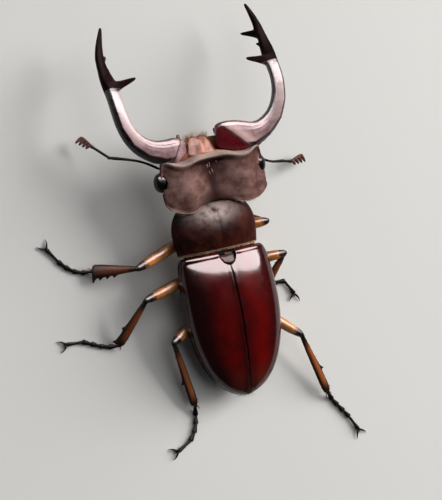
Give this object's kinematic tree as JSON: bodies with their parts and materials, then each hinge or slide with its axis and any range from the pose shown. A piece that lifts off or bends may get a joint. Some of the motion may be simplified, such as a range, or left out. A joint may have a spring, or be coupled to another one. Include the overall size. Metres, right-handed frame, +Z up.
{
  "type": "stag beetle",
  "caption": "Male stag beetle standing with its long toothed mandibles open, a still life-size model in separate shell, leg, feeler and jaw pieces.",
  "frame": {"origin": "middle of the floor below the beetle's overall box", "axes": "+Y towards the mandible tips, +X to the beetle's right, +Z up"},
  "size_m": [0.0608, 0.0918, 0.014],
  "materials": {
    "wing_case": "glossy deep wine-red shell",
    "dark_shell": "satin dark maroon shell",
    "head_shell": "matte mauve-brown shell with very short down",
    "mandible": "glossy dark red-brown, black at the teeth and tips",
    "eye": "glossy black",
    "amber_leg": "satin orange-brown",
    "antenna": "dark brown, downy at the club",
    "black_leg": "satin black-brown"
  },
  "bodies": {
    "root": {"pronotum": "dark_shell", "elytron_right": "wing_case", "elytron_left": "wing_case", "scutellum": "dark_shell", "prosternum": "dark_shell", "thorax": "dark_shell", "abdomen": "dark_shell", "coxa_front_left": "black_leg", "coxa_front_right": "black_leg", "coxa_middle_left": "black_leg", "coxa_middle_right": "black_leg", "coxa_hind_left": "black_leg", "coxa_hind_right": "black_leg", "mandible_right": "mandible", "mandible_left": "mandible", "head": "head_shell", "upper_lip": "amber_leg", "eye_left": "eye", "palp_left": "amber_leg", "eye_right": "eye", "palp_right": "amber_leg", "antenna_left_scape": "antenna", "antenna_left_funicle": "antenna", "antenna_left_club": "antenna", "antenna_right_scape": "antenna", "antenna_right_funicle": "antenna", "antenna_right_club": "antenna", "femur_front_left": "amber_leg", "tibia_front_left": "black_leg", "tarsus_front_left": "black_leg", "claws_front_left": "black_leg", "femur_front_right": "amber_leg", "tibia_front_right": "black_leg", "tarsus_front_right": "black_leg", "claws_front_right": "black_leg", "femur_middle_left": "amber_leg", "tibia_middle_left": "black_leg", "tarsus_middle_left": "black_leg", "claws_middle_left": "black_leg", "femur_middle_right": "amber_leg", "tibia_middle_right": "black_leg", "tarsus_middle_right": "black_leg", "claws_middle_right": "black_leg", "femur_hind_left": "amber_leg", "tibia_hind_left": "black_leg", "tarsus_hind_left": "black_leg", "claws_hind_left": "black_leg", "femur_hind_right": "amber_leg", "tibia_hind_right": "black_leg", "tarsus_hind_right": "black_leg", "claws_hind_right": "black_leg"}
  },
  "joints": []
}
